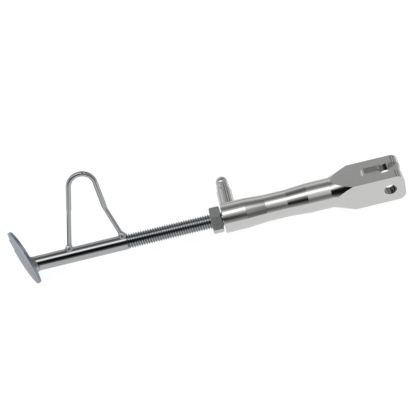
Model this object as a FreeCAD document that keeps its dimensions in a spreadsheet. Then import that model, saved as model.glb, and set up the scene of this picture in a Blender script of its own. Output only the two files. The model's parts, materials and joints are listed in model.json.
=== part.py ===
import FreeCAD, Part
import math
import os

import Sketcher

# Adjustable motorcycle side stand: a square-ended clevis body, a threaded leg that screws into
# it and is locked by a jam nut, a tilted round foot and a wire loop that the rider kicks.
# Millimetres. Origin: centre of the pivot bore, midway between the two ears. The leg runs along
# -X from the pivot to the foot, the pivot bore lies along Y, and +Z is up.

doc = FreeCAD.newDocument("side_stand")
sheet = doc.addObject("Spreadsheet::Sheet", "sizes")

DRIVING_SIZES = [
    # clevis body: square bar, turned down behind the clevis
    ("bar_side", 25.4, "side of the square bar"),
    ("ear_reach", 12.2, "pivot to the open end of the ears"),
    ("ear_corner", 6.5, "radius of the ear corners"),
    ("edge_break", 0.5, "chamfer on the edges of the bar"),
    ("pivot_bore", 10.1, "diameter of the pivot bore"),
    ("slot_width", 9.5, "gap between the ears"),
    ("slot_reach", 20.6, "pivot to the closed end of the slot"),
    ("blend_start", 46.5, "pivot to where the round part begins"),
    ("blend_angle", 18.5, "half angle of the cone that blends square into round"),
    ("shoulder_diameter", 24.4, "round part next to the square"),
    ("shoulder_length", 18.7, "length of that shoulder"),
    ("rise_length", 16.6, "taper from the waist up to the shoulder"),
    ("waist_diameter", 22.0, "thinnest part of the body"),
    ("waist_length", 17.6, "length of the waist"),
    ("taper_length", 16.0, "taper from the end collar down to the waist"),
    ("collar_diameter", 24.5, "round collar at the threaded end"),
    ("collar_length", 18.9, "length of that collar"),
    ("bore_depth", 95.0, "depth of the threaded bore"),
    ("drill_half_angle", 59.0, "half angle of the drilled tip of the bore"),
    # leg: half-inch threaded end, plain shank, foot
    ("thread_major", 12.7, "outer diameter of the thread"),
    ("thread_pitch", 1.954, "pitch of the thread"),
    ("thread_gap", 0.05, "radial clearance between thread and bore"),
    ("thread_exposed", 78.2, "threaded end of the body to the start of the thread"),
    ("thread_engaged", 40.0, "length of thread inside the body"),
    ("shank_diameter", 12.4, "plain part of the leg"),
    ("foot_to_loop", 36.6, "centre of the foot's underside to the loop's nearer base"),
    ("foot_offset_back", 4.5, "centre of the foot behind the leg's axis"),
    ("foot_offset_up", 4.5, "centre of the foot above the leg's axis"),
    ("foot_diameter", 47.0, "round foot plate"),
    ("foot_thickness", 2.5, "thickness of the foot plate"),
    ("foot_yaw", 21.6, "turn of the foot's normal about Z"),
    ("foot_pitch", 86.2, "angle of the foot's normal from Z"),
    ("notch_first", 95.7, "angle of the first rim notch in the foot's own plane"),
    ("notch_second", 68.2, "angle of the second rim notch"),
    ("notch_run", 27.5, "angle over which each notch deepens"),
    ("notch_depth", 3.0, "depth of each rim notch"),
    ("foot_bead_radius", 8.0, "outer radius of the weld round the leg on the foot"),
    ("foot_bead_height", 4.5, "height of that weld"),
    # jam nut
    ("nut_flats", 19.05, "across the flats"),
    ("nut_thickness", 8.7, "thickness of the nut"),
    ("nut_gap", 1.2, "space between the nut and the body"),
    ("nut_turn", 0.5, "angle of the nut's first corner from +Y"),
    ("nut_chamfer_angle", 30.0, "chamfer of the nut's corners"),
    # kick loop and its sleeve
    ("wire_diameter", 3.7, "wire of the kick loop"),
    ("loop_lean", 20.0, "lean of the loop's plane towards +Y"),
    ("loop_spread", 46.5, "distance between the loop's two bases, on the leg's axis"),
    ("loop_to_thread", 1.3, "loop's upper base to the start of the thread"),
    ("loop_height", 66.65, "leg's axis to the top of the wire's centreline"),
    ("loop_top_radius", 10.75, "bend at the top"),
    ("loop_lower_angle", 13.06, "slant of the side nearer the foot"),
    ("loop_upper_angle", 5.5, "slant of the other side above its bend"),
    ("loop_root_angle", 16.0, "slant of the other side below its bend"),
    ("loop_knee_radius", 20.0, "bend in the side nearer the thread"),
    ("sleeve_wall", 0.28, "wall of the sleeve over the wire"),
    ("sleeve_gap", 0.02, "clearance between sleeve and wire"),
    ("sleeve_lower_end", 39.0, "height of the sleeve's end on the foot side"),
    ("sleeve_upper_end", 34.5, "height of the sleeve's end on the thread side"),
    ("loop_bead_radius", 4.3, "outer radius of each loop weld at the leg"),
    ("loop_bead_height", 3.8, "height of each loop weld"),
    # spring post
    ("post_inset", 5.8, "threaded end of the body to the post's axis"),
    ("post_flat_depth", 1.85, "depth of the flat that the post sits on"),
    ("post_seat_gap", 0.4, "radial room round the post in its flat"),
    ("post_base_diameter", 12.7, "large base of the post"),
    ("post_base_length", 18.5, "length of the base"),
    ("post_groove_diameter", 9.6, "groove above the base"),
    ("post_groove_width", 0.7, "width of that groove"),
    ("post_collar_diameter", 10.8, "collar under the ball"),
    ("post_collar_length", 5.9, "length of the collar"),
    ("post_neck_diameter", 6.4, "neck under the ball"),
    ("post_ball_diameter", 10.0, "ball that keeps the spring on"),
    ("post_ball_rise", 4.5, "top of the collar to the ball's centre"),
    ("post_shank_diameter", 7.9, "shank screwed into the body"),
    ("post_shank_gap", 0.03, "radial clearance of that shank"),
    ("post_shank_margin", 0.8, "threaded bore to the inner end of the shank"),
]

for row, (alias, value, meaning) in enumerate(DRIVING_SIZES, start=1):
    sheet.set(f"A{row}", meaning)
    sheet.set(f"B{row}", str(value))
    sheet.setAlias(f"B{row}", alias)
doc.recompute()


def size(alias):
    """A driving size as a plain number."""
    return float(sheet.get(alias))


# Expressions that several pieces share
BODY_END = ("(sizes.blend_start + sizes.shoulder_length + sizes.rise_length + sizes.waist_length"
            " + sizes.taper_length + sizes.collar_length)")
THREAD_BORE = "(sizes.thread_major / 2 + sizes.thread_gap)"
# distances from the pivot along the leg
THREAD_REACH = f"({BODY_END} + sizes.thread_exposed)"
LOOP_UPPER = f"({THREAD_REACH} + sizes.loop_to_thread)"
LOOP_LOWER = f"({LOOP_UPPER} + sizes.loop_spread)"
FOOT_REACH = f"({LOOP_LOWER} + sizes.foot_to_loop)"
# heights of the spring post above the leg's axis
POST_SEAT = "(sizes.collar_diameter / 2 - sizes.post_flat_depth)"
POST_BASE_END = f"({POST_SEAT} + sizes.post_base_length)"
POST_GROOVE_END = f"({POST_BASE_END} + sizes.post_groove_width)"
POST_COLLAR_END = f"({POST_GROOVE_END} + sizes.post_collar_length)"
POST_BALL_CENTRE = f"({POST_COLLAR_END} + sizes.post_ball_rise)"
FOOT_NORMAL = ("sin(sizes.foot_pitch) * cos(sizes.foot_yaw)",
               "sin(sizes.foot_pitch) * sin(sizes.foot_yaw)",
               "cos(sizes.foot_pitch)")
FOOT_CENTRE = (f"-{FOOT_REACH}", "sizes.foot_offset_back", "sizes.foot_offset_up")
FOOT_ROTATION = "rotation(sizes.foot_yaw; sizes.foot_pitch; 0)"
LOOP_PLACEMENT = "placement(vector(0; 0; 0); rotation(0; 0; -sizes.loop_lean))"
CLEARING = 2.0  # how far a cutter runs past what it cuts


def new_body(label, placement=None):
    body = doc.addObject("PartDesign::Body", label)
    body.Label = label
    if placement:
        body.setExpression("Placement", placement)
    return body


def new_sketch(body, name, role, offset=None):
    """A sketch on one of the body's own origin planes."""
    sketch = body.newObject("Sketcher::SketchObject", name)
    plane = next(p for p in body.Origin.OriginFeatures if p.Role == role)
    sketch.AttachmentSupport = (plane, [""])
    sketch.MapMode = "FlatFace"
    if offset:
        sketch.setExpression("AttachmentOffset", offset)
    return sketch


def evaluate(expression):
    return float(sheet.evalExpression(expression.replace("sizes.", "")))


def pin(sketch, geometry, end, x, y):
    """Hold one point of the sketch at two expressions."""
    for kind, expression in (("DistanceX", x), ("DistanceY", y)):
        value = evaluate(expression)
        index = sketch.addConstraint(Sketcher.Constraint(kind, -1, 1, geometry, end, value))
        if "sizes." in expression:
            sketch.setExpression(f"Constraints[{index}]", expression)


def hold(sketch, kind, geometry, expression):
    """Drive a radius or diameter of the sketch by an expression."""
    value = evaluate(expression)
    index = sketch.addConstraint(Sketcher.Constraint(kind, geometry, value))
    sketch.setExpression(f"Constraints[{index}]", expression)


def add_outline(sketch, corners):
    """A closed outline. A third entry on a corner is the radius of an arc to the next one."""
    points = [FreeCAD.Vector(evaluate(c[0]), evaluate(c[1]), 0) for c in corners]
    edges = []
    for number, corner in enumerate(corners):
        start = points[number]
        stop = points[(number + 1) % len(points)]
        if len(corner) == 2:
            edges.append(sketch.addGeometry(Part.LineSegment(start, stop)))
            continue
        radius = evaluate(corner[2])
        chord = stop - start
        rise = radius - math.sqrt(radius**2 - (chord.Length / 2) ** 2)
        outward = FreeCAD.Vector(chord.y, -chord.x, 0).normalize()
        middle = (start + stop) / 2 + outward * rise
        edges.append(sketch.addGeometry(Part.Arc(start, middle, stop)))
        hold(sketch, "Radius", edges[-1], corner[2])
    for number, edge in enumerate(edges):
        # Part.Arc may store its ends the other way round, so the ends are matched by place
        following = edges[(number + 1) % len(edges)]
        near = end_at(sketch, edge, points[(number + 1) % len(points)])
        far = end_at(sketch, following, points[(number + 1) % len(points)])
        sketch.addConstraint(Sketcher.Constraint("Coincident", edge, near, following, far))
        pin(sketch, edge, near, *corners[(number + 1) % len(points)][:2])


def end_at(sketch, geometry, point):
    """1 or 2: which end of the edge lies at the point."""
    first = sketch.getPoint(geometry, 1)
    second = sketch.getPoint(geometry, 2)
    return 1 if first.distanceToPoint(point) < second.distanceToPoint(point) else 2


def add_circle(sketch, x, y, diameter):
    centre = FreeCAD.Vector(evaluate(x), evaluate(y), 0)
    circle = Part.Circle(centre, FreeCAD.Vector(0, 0, 1), evaluate(diameter) / 2)
    geometry = sketch.addGeometry(circle)
    pin(sketch, geometry, 3, x, y)
    hold(sketch, "Diameter", geometry, diameter)


def pad(body, sketch, length, both_ways=False):
    feature = body.newObject("PartDesign::Pad", sketch.Name + "_pad")
    feature.Profile = sketch
    feature.Midplane = both_ways
    feature.setExpression("Length", length)
    doc.recompute()
    return feature


def turn(body, sketch, axis, kind="PartDesign::Revolution"):
    """Revolve a sketch fully about its own horizontal or vertical axis."""
    feature = body.newObject(kind, sketch.Name + "_turn")
    feature.Profile = sketch
    feature.ReferenceAxis = (sketch, [axis])
    feature.Angle = 360
    if kind == "PartDesign::Revolution":
        doc.recompute()
        return feature
    before = body.Shape.Volume
    doc.recompute()
    check_cut(body, feature, before)
    return feature


def pocket(body, sketch, length=None, both_ways=False):
    """Cut a sketch away: through all, or to a length against the sketch's normal."""
    feature = body.newObject("PartDesign::Pocket", sketch.Name + "_pocket")
    feature.Profile = sketch
    feature.Midplane = both_ways
    before = body.Shape.Volume
    if length:
        feature.setExpression("Length", length)
    else:
        feature.Type = "ThroughAll"
    doc.recompute()
    check_cut(body, feature, before)
    return feature


def check_cut(body, feature, before):
    if body.Shape.Volume > before - 0.01:
        raise RuntimeError(f"{feature.Name} removed nothing from {body.Label}")


def edges_where(feature, test):
    """Names of the feature's edges whose two ends both pass the test."""
    names = []
    for number, edge in enumerate(feature.Shape.Edges, start=1):
        if all(test(vertex.Point) for vertex in edge.Vertexes):
            names.append(f"Edge{number}")
    return names


def dress(body, kind, base, edges, amount):
    feature = body.newObject(kind, base.Name + "_dressed")
    feature.Base = (base, edges)
    feature.setExpression("Radius" if kind.endswith("Fillet") else "Size", amount)
    doc.recompute()
    return feature


def primitive(kind, name, placement, **expressions):
    shape = doc.addObject(kind, name)
    shape.setExpression("Placement", placement)
    for key, expression in expressions.items():
        shape.setExpression(key, expression)
    return shape


def cut(label, base, tools):
    """A base with several tools taken away, one after the other."""
    for number, tool in enumerate(tools, start=1):
        result = doc.addObject("Part::Cut", f"{label}_cut_{number}")
        result.Base = base
        result.Tool = tool
        base = result
    base.Label = label
    doc.recompute()
    return base


# ---------------------------------------------------------------- clevis body
def make_clevis_body():
    body = new_body("clevis_body")
    half = "sizes.bar_side / 2"

    stock = new_sketch(body, "bar_stock", "XZ_Plane")
    add_outline(stock, [(f"-{BODY_END}", f"-{half}"), ("sizes.ear_reach", f"-{half}"),
                        ("sizes.ear_reach", half), (f"-{BODY_END}", half)])
    bar = pad(body, stock, "sizes.bar_side", both_ways=True)

    def at_ear_corner(point):
        return abs(point.x - size("ear_reach")) < 0.01

    corners = edges_where(bar, at_ear_corner)
    across = [name for name in corners if abs(bar.Shape.getElement(name).tangentAt(0).y) > 0.9]
    rounded = dress(body, "PartDesign::Fillet", bar, across, "sizes.ear_corner")

    def on_side(point):
        return abs(abs(point.y) - size("bar_side") / 2) < 0.01

    side_edges = [name for name in edges_where(rounded, on_side)
                  if abs(rounded.Shape.getElement(name).CenterOfMass.y) > size("bar_side") / 4]
    dress(body, "PartDesign::Chamfer", rounded, side_edges, "sizes.edge_break")

    make_turned_outside(body)
    make_threaded_bore(body)

    slot_end = new_sketch(body, "slot_end", "XY_Plane")
    slot_centre = "-(sizes.slot_reach - sizes.slot_width / 2)"
    add_circle(slot_end, slot_centre, "0", "sizes.slot_width")
    pocket(body, slot_end, both_ways=True)
    slot = new_sketch(body, "slot", "XY_Plane")
    slot_half = "sizes.slot_width / 2"
    add_outline(slot, [(slot_centre, f"-{slot_half}"),
                       (f"sizes.ear_reach + {CLEARING}", f"-{slot_half}"),
                       (f"sizes.ear_reach + {CLEARING}", slot_half),
                       (slot_centre, slot_half)])
    pocket(body, slot, both_ways=True)

    pivot = new_sketch(body, "pivot", "XZ_Plane")
    add_circle(pivot, "0", "0", "sizes.pivot_bore")
    pocket(body, pivot, both_ways=True)

    # the spring post's tapped hole, and the flat that the post sits on
    post_x = f"-({BODY_END} - sizes.post_inset)"
    hole = new_sketch(body, "post_hole", "XZ_Plane")
    add_circle(hole, post_x, "0", "sizes.post_shank_diameter + 2 * sizes.post_shank_gap")
    pocket(body, hole, "sizes.bar_side")
    flat = new_sketch(body, "post_flat", "XZ_Plane",
                      f"placement(vector(0; 0; -{POST_SEAT}); rotation(0; 0; 0))")
    add_circle(flat, post_x, "0", "sizes.post_base_diameter + 2 * sizes.post_seat_gap")
    pocket(body, flat, "sizes.bar_side")
    return body


def make_turned_outside(body):
    """Turn the bar down behind the clevis: blend cone, shoulder, waist and end collar."""
    collar_start = f"-({BODY_END} - sizes.collar_length)"
    waist_end = "-(sizes.blend_start + sizes.shoulder_length + sizes.rise_length)"
    outside = new_sketch(body, "turned_outside", "XZ_Plane")
    add_outline(outside, [
        (f"-{BODY_END} - {CLEARING}", "sizes.collar_diameter / 2 - sizes.edge_break"),
        (f"-{BODY_END}", "sizes.collar_diameter / 2 - sizes.edge_break"),
        (f"-{BODY_END} + sizes.edge_break", "sizes.collar_diameter / 2"),
        (collar_start, "sizes.collar_diameter / 2"),
        (f"{collar_start} + sizes.taper_length", "sizes.waist_diameter / 2"),
        (waist_end, "sizes.waist_diameter / 2"),
        ("-(sizes.blend_start + sizes.shoulder_length)", "sizes.shoulder_diameter / 2"),
        ("-sizes.blend_start", "sizes.shoulder_diameter / 2"),
        ("-sizes.blend_start + (sizes.bar_side - sizes.shoulder_diameter / 2)"
         " / tan(sizes.blend_angle)", "sizes.bar_side"),
        (f"-{BODY_END} - {CLEARING}", "sizes.bar_side"),
    ])
    turn(body, outside, "H_Axis", "PartDesign::Groove")


def make_threaded_bore(body):
    bottom = f"-{BODY_END} + sizes.bore_depth"
    bore = new_sketch(body, "threaded_bore", "XZ_Plane")
    add_outline(bore, [
        (f"-{BODY_END} - {CLEARING}", "0"),
        (bottom + f" + {THREAD_BORE} / tan(sizes.drill_half_angle)", "0"),
        (bottom, THREAD_BORE),
        (f"-{BODY_END} + 2 * sizes.edge_break", THREAD_BORE),
        (f"-{BODY_END}", f"{THREAD_BORE} + 2 * sizes.edge_break"),
        (f"-{BODY_END} - {CLEARING}", f"{THREAD_BORE} + 2 * sizes.edge_break"),
    ])
    turn(body, bore, "H_Axis", "PartDesign::Groove")


# ---------------------------------------------------------------- spring post
def make_spring_post():
    body = new_body("spring_post",
                    f"placement(vector(-({BODY_END} - sizes.post_inset); 0; 0); rotation(0; 0; 0))")
    base = "sizes.post_base_diameter / 2"
    groove = "sizes.post_groove_diameter / 2"
    collar = "sizes.post_collar_diameter / 2"
    neck = "sizes.post_neck_diameter / 2"
    ball = "(sizes.post_ball_diameter / 2)"
    bevel = "sizes.edge_break"
    shank = "sizes.post_shank_diameter / 2"
    shank_start = f"{THREAD_BORE} + sizes.post_shank_margin"
    profile = new_sketch(body, "post_profile", "XY_Plane")
    add_outline(profile, [
        ("0", shank_start),
        (shank, shank_start),
        (shank, POST_SEAT),
        (base, POST_SEAT),
        (base, f"{POST_BASE_END} - {bevel}"),
        (f"{base} - {bevel}", POST_BASE_END),
        (groove, POST_BASE_END),
        (groove, POST_GROOVE_END),
        (f"{collar} - {bevel} / 2", POST_GROOVE_END),
        (collar, f"{POST_GROOVE_END} + {bevel} / 2"),
        (collar, f"{POST_COLLAR_END} - {bevel}"),
        (f"{collar} - {bevel}", POST_COLLAR_END),
        (neck, POST_COLLAR_END),
        (neck, f"{POST_BALL_CENTRE} - sqrt({ball}^2 - ({neck})^2)", ball),
        ("0", f"{POST_BALL_CENTRE} + {ball}"),
    ])
    turn(body, profile, "V_Axis")
    return body


# ---------------------------------------------------------------- jam nut
def make_jam_nut():
    start = f"-({BODY_END} + sizes.nut_gap + sizes.nut_thickness)"
    body = new_body("jam_nut", f"placement(vector({start}; 0; 0); rotation(0; 0; 0))")
    corner = "sizes.nut_flats / 2 / cos(30)"
    hexagon = new_sketch(body, "nut_hexagon", "YZ_Plane")
    angles = [f"(sizes.nut_turn + {60 * side})" for side in range(6)]
    add_outline(hexagon, [(f"{corner} * cos({a})", f"{corner} * sin({a})") for a in angles])
    pad(body, hexagon, "sizes.nut_thickness")

    drop = f"({corner} - sizes.nut_flats / 2) * tan(sizes.nut_chamfer_angle)"
    for name, face, inward in (("nut_back", "0", "1"),
                               ("nut_front", "sizes.nut_thickness", "-1")):
        bevel = new_sketch(body, name, "XZ_Plane")
        add_outline(bevel, [(face, "sizes.nut_flats / 2"),
                            (f"{face} + {inward} * {drop}", corner),
                            (f"{face} + {inward} * {drop}", f"{corner} + {CLEARING}"),
                            (f"{face} - {inward} * {CLEARING}", f"{corner} + {CLEARING}"),
                            (f"{face} - {inward} * {CLEARING}", "sizes.nut_flats / 2")])
        turn(body, bevel, "H_Axis", "PartDesign::Groove")

    sink = "sizes.edge_break"
    bore = new_sketch(body, "nut_bore", "XZ_Plane")
    add_outline(bore, [(f"-{CLEARING}", "0"),
                       (f"sizes.nut_thickness + {CLEARING}", "0"),
                       (f"sizes.nut_thickness + {CLEARING}", f"{THREAD_BORE} + {sink}"),
                       ("sizes.nut_thickness", f"{THREAD_BORE} + {sink}"),
                       (f"sizes.nut_thickness - {sink}", THREAD_BORE),
                       (sink, THREAD_BORE),
                       ("0", f"{THREAD_BORE} + {sink}"),
                       (f"-{CLEARING}", f"{THREAD_BORE} + {sink}")])
    turn(body, bore, "H_Axis", "PartDesign::Groove")
    return body


# ---------------------------------------------------------------- leg rod
def make_leg_rod():
    """A plain shank with a threaded end. The thread is rings at the pitch, not a helix."""
    body = new_body("leg_rod")
    shank = "sizes.shank_diameter / 2"
    crest = "sizes.thread_major / 2"
    tip = f"-({BODY_END} - sizes.thread_engaged)"
    lead = "sizes.thread_pitch"
    blank = new_sketch(body, "rod_blank", "XZ_Plane")
    add_outline(blank, [
        (f"-({FOOT_REACH} + sizes.foot_diameter / 2)", "0"),
        (tip, "0"),
        (tip, f"{crest} - {lead}"),
        (f"{tip} - {lead}", crest),
        (f"-{THREAD_REACH}", crest),
        (f"-{THREAD_REACH}", shank),
        (f"-({FOOT_REACH} + sizes.foot_diameter / 2)", shank),
    ])
    turn(body, blank, "H_Axis")

    # the shank stops at the foot plate's upper face, which is tilted
    top = [f"{centre} + sizes.foot_thickness * {axis}"
           for centre, axis in zip(FOOT_CENTRE, FOOT_NORMAL)]
    foot_end = new_sketch(body, "foot_end", "XY_Plane",
                          f"placement(vector({'; '.join(top)}); {FOOT_ROTATION})")
    add_circle(foot_end, "0", "0", "2 * sizes.foot_diameter")
    pocket(body, foot_end, "2 * sizes.foot_diameter")

    # one 60 degree groove, then its copies along the thread
    depth = "0.6134 * sizes.thread_pitch"
    mouth = "7 / 16 * sizes.thread_pitch"
    root = f"({mouth} - {depth} * tan(30))"
    middle = f"-({THREAD_REACH} - sizes.thread_pitch)"
    groove = new_sketch(body, "thread_groove", "XZ_Plane")
    add_outline(groove, [
        (f"{middle} - {root}", f"{crest} - {depth}"),
        (f"{middle} + {root}", f"{crest} - {depth}"),
        (f"{middle} + {mouth}", crest),
        (f"{middle} + {mouth}", f"{crest} + {CLEARING}"),
        (f"{middle} - {mouth}", f"{crest} + {CLEARING}"),
        (f"{middle} - {mouth}", crest),
    ])
    first = turn(body, groove, "H_Axis", "PartDesign::Groove")
    turns = f"floor(({THREAD_REACH} + {tip}) / sizes.thread_pitch - 1.5)"
    rings = body.newObject("PartDesign::LinearPattern", "thread_rings")
    rings.Originals = [first]
    rings.Direction = (groove, ["H_Axis"])
    rings.setExpression("Length", f"({turns} - 1) * sizes.thread_pitch")
    rings.setExpression("Occurrences", turns)
    body.Tip = rings
    before = first.Shape.Volume
    doc.recompute()
    check_cut(body, rings, before)
    return body


# ---------------------------------------------------------------- foot plate
def make_foot_plate():
    """A round plate in its own plane; underside at its own z = 0."""
    body = new_body("foot_plate",
                    f"placement(vector({'; '.join(FOOT_CENTRE)}); {FOOT_ROTATION})")
    radius = "sizes.foot_diameter / 2"
    inner = f"({radius} - sizes.notch_depth)"

    def at(distance, angle):
        return (f"{distance} * cos({angle})", f"{distance} * sin({angle})")

    start = "(sizes.notch_first + sizes.notch_run)"
    outline = new_sketch(body, "foot_outline", "XY_Plane")
    add_outline(outline, [
        at(inner, "sizes.notch_second"),
        at(radius, "sizes.notch_first"),
        at(inner, "sizes.notch_first"),
        at(radius, start) + (radius,),
        at(radius, f"({start} + 90)") + (radius,),
        at(radius, f"({start} + 180)") + (radius,),
        at(radius, "sizes.notch_second"),
    ])
    pad(body, outline, "sizes.foot_thickness")
    return body


# ---------------------------------------------------------------- kick loop and sleeve
def loop_points():
    """Corners of the loop's centreline in its own plane, to start the sketch from."""
    lower = math.radians(size("loop_lower_angle"))
    upper = math.radians(size("loop_upper_angle"))
    root = math.radians(size("loop_root_angle"))
    radius = size("loop_top_radius")
    centre_up = size("loop_height") - radius
    centre = FreeCAD.Vector(
        -evaluate(LOOP_LOWER) + centre_up * math.tan(lower) + radius / math.cos(lower),
        centre_up, 0)
    lower_touch = centre + FreeCAD.Vector(-math.cos(lower), math.sin(lower), 0) * radius
    upper_touch = centre + FreeCAD.Vector(math.cos(upper), math.sin(upper), 0) * radius
    gap = -evaluate(LOOP_UPPER) - upper_touch.x - upper_touch.y * math.tan(upper)
    knee_up = gap / (math.tan(root) - math.tan(upper))
    knee = FreeCAD.Vector(-evaluate(LOOP_UPPER) - knee_up * math.tan(root), knee_up, 0)
    reach = size("loop_knee_radius") * math.tan((root - upper) / 2)
    knee_start = knee + FreeCAD.Vector(-math.sin(upper), math.cos(upper), 0) * reach
    knee_end = knee + FreeCAD.Vector(math.sin(root), -math.cos(root), 0) * reach
    return centre, lower_touch, upper_touch, knee, knee_start, knee_end


def make_loop_path(body):
    """Foot side, top bend, thread side, knee and root: straight runs with tangent arcs."""
    centre, lower_touch, upper_touch, knee, knee_start, knee_end = loop_points()
    lower_base = FreeCAD.Vector(-evaluate(LOOP_LOWER), 0, 0)
    upper_base = FreeCAD.Vector(-evaluate(LOOP_UPPER), 0, 0)
    top = centre + FreeCAD.Vector(0, size("loop_top_radius"), 0)
    bow = size("loop_knee_radius") * (1 / math.cos(math.radians(
        size("loop_root_angle") - size("loop_upper_angle")) / 2) - 1)
    inward = FreeCAD.Vector(-1, 0, 0)
    path = new_sketch(body, body.Label + "_path", "XZ_Plane")
    lower_side = path.addGeometry(Part.LineSegment(lower_base, lower_touch))
    top_bend = path.addGeometry(Part.Arc(lower_touch, top, upper_touch))
    upper_side = path.addGeometry(Part.LineSegment(upper_touch, knee_start))
    knee_bend = path.addGeometry(Part.Arc(knee_start, knee + inward * bow, knee_end))
    root_side = path.addGeometry(Part.LineSegment(knee_end, upper_base))
    for first, second, point in ((lower_side, top_bend, lower_touch),
                                 (top_bend, upper_side, upper_touch),
                                 (upper_side, knee_bend, knee_start),
                                 (knee_bend, root_side, knee_end)):
        path.addConstraint(Sketcher.Constraint(
            "Tangent", first, end_at(path, first, point), second, end_at(path, second, point)))
    pin(path, lower_side, 1, f"-{LOOP_LOWER}", "0")
    pin(path, root_side, 2, f"-{LOOP_UPPER}", "0")
    hold(path, "Radius", top_bend, "sizes.loop_top_radius")
    hold(path, "Radius", knee_bend, "sizes.loop_knee_radius")
    for side, expression in ((lower_side, "90 - sizes.loop_lower_angle"),
                             (upper_side, "sizes.loop_upper_angle - 90"),
                             (root_side, "sizes.loop_root_angle - 90")):
        value = math.radians(evaluate(expression))
        index = path.addConstraint(Sketcher.Constraint("Angle", side, value))
        path.setExpression(f"Constraints[{index}]", expression)
    index = path.addConstraint(Sketcher.Constraint(
        "DistanceY", -1, 1, top_bend, 3, size("loop_height") - size("loop_top_radius")))
    path.setExpression(f"Constraints[{index}]", "sizes.loop_height - sizes.loop_top_radius")
    return path


def sweep_loop(body, diameters):
    """Sweep one or two concentric circles along the loop's centreline."""
    path = make_loop_path(body)
    section = new_sketch(body, body.Label + "_section", "XY_Plane",
                         f"placement(vector(-{LOOP_LOWER}; 0; 0);"
                         " rotation(0; sizes.loop_lower_angle; 0))")
    for diameter in diameters:
        add_circle(section, "0", "0", diameter)
    pipe = body.newObject("PartDesign::AdditivePipe", body.Label + "_pipe")
    pipe.Profile = section
    pipe.Spine = path
    doc.recompute()
    return pipe


def make_kick_loop():
    body = new_body("kick_loop", LOOP_PLACEMENT)
    sweep_loop(body, ["sizes.wire_diameter"])
    # both ends are coped to sit on the round shank
    cope = new_sketch(body, "cope", "YZ_Plane")
    add_circle(cope, "0", "0", "sizes.shank_diameter")
    pocket(body, cope, both_ways=True)
    return body


def make_loop_sleeve():
    body = new_body("loop_sleeve", LOOP_PLACEMENT)
    bore = "sizes.wire_diameter + 2 * sizes.sleeve_gap"
    sweep_loop(body, [bore, f"{bore} + 2 * sizes.sleeve_wall"])
    ends = new_sketch(body, "sleeve_ends", "XZ_Plane")
    left = f"-{LOOP_LOWER} - {CLEARING} * sizes.wire_diameter"
    right = f"-{LOOP_UPPER} + {CLEARING} * sizes.wire_diameter"
    below = f"-{CLEARING} * sizes.wire_diameter"
    add_outline(ends, [(left, below), (right, below),
                       (right, "sizes.sleeve_upper_end"), (left, "sizes.sleeve_lower_end")])
    pocket(body, ends, both_ways=True)
    return body


# ---------------------------------------------------------------- welds
def leg_cylinder(name, radius, start, length):
    return primitive("Part::Cylinder", name,
                     f"placement(vector({start}; 0; 0); rotation(0; 90; 0))",
                     Radius=radius, Height=length)


def make_loop_weld(label, base, slant):
    """A cone of weld round one end of the wire, standing on the shank."""
    turned = (f"placement(vector(-{base}; 0; 0); rotation(0; 0; -sizes.loop_lean))"
              f" * placement(vector(0; 0; 0); rotation(0; {slant}; 0))")
    shank = "(sizes.shank_diameter / 2)"
    wire = "(sizes.wire_diameter / 2)"
    # the cone starts as deep as the round shank falls away under its edge
    foot = f"sqrt({shank}^2 - sizes.loop_bead_radius^2)"
    bead = primitive("Part::Cone", label + "_bead",
                     f"{turned} * placement(vector(0; 0; {foot}); rotation(0; 0; 0))",
                     Radius1="sizes.loop_bead_radius", Radius2=f"{wire} + sizes.sleeve_wall",
                     Height=f"{shank} - {foot} + sizes.loop_bead_height")
    past = f"{CLEARING} * sizes.bar_side"
    tools = [
        leg_cylinder(label + "_shank", shank, f"-{base} - {past}", f"2 * {past}"),
        leg_cylinder(label + "_thread", "sizes.thread_major / 2", f"-{THREAD_REACH}", past),
        primitive("Part::Cylinder", label + "_wire", turned, Radius=wire, Height=past),
    ]
    return cut(label, bead, tools)


def make_foot_weld():
    """A cone of weld round the shank, standing on the tilted foot plate."""
    # where the leg's axis meets the plate's upper face
    along = "({} * {} + {} * {})".format(FOOT_CENTRE[1], FOOT_NORMAL[1],
                                         FOOT_CENTRE[2], FOOT_NORMAL[2])
    meeting = (f"(-{FOOT_REACH} + ({along} + sizes.foot_thickness)"
               f" / ({FOOT_NORMAL[0]}))")
    placement = f"placement(vector({meeting}; 0; 0); {FOOT_ROTATION})"
    bead = primitive("Part::Cone", "foot_bead", placement, Radius1="sizes.foot_bead_radius",
                     Radius2="sizes.shank_diameter / 2", Height="sizes.foot_bead_height")
    shank = leg_cylinder("foot_bead_shank", "sizes.shank_diameter / 2",
                         f"-2 * {FOOT_REACH}", f"2 * {FOOT_REACH}")
    return cut("foot_weld", bead, [shank])


pieces = [
    make_clevis_body(),
    make_spring_post(),
    make_jam_nut(),
    make_leg_rod(),
    make_foot_plate(),
    make_foot_weld(),
    make_kick_loop(),
    make_loop_sleeve(),
    make_loop_weld("loop_weld_lower", LOOP_LOWER, "sizes.loop_lower_angle"),
    make_loop_weld("loop_weld_upper", LOOP_UPPER, "-sizes.loop_root_angle"),
]
doc.recompute()

for thing in doc.Objects:
    if "Invalid" in thing.State or "Error" in thing.State:
        raise RuntimeError(f"{thing.Label} failed: {thing.State}")

os.makedirs("parts", exist_ok=True)
for piece in pieces:
    if piece.Shape.isNull() or not piece.Shape.isValid():
        raise RuntimeError(f"{piece.Label} has no valid shape")
    piece.Shape.exportStep(f"parts/{piece.Label}.step")
    box = piece.Shape.BoundBox
    print(f"{piece.Label}: {len(piece.Shape.Solids)} solid, {piece.Shape.Volume:.1f} mm3, "
          f"x {box.XMin:.1f}..{box.XMax:.1f}, y {box.YMin:.1f}..{box.YMax:.1f}, "
          f"z {box.ZMin:.1f}..{box.ZMax:.1f}")
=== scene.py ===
import json
import math

import bmesh
import bpy
from bpy.props import FloatProperty, FloatVectorProperty, IntProperty, PointerProperty
from mathutils import Matrix, Vector


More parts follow.
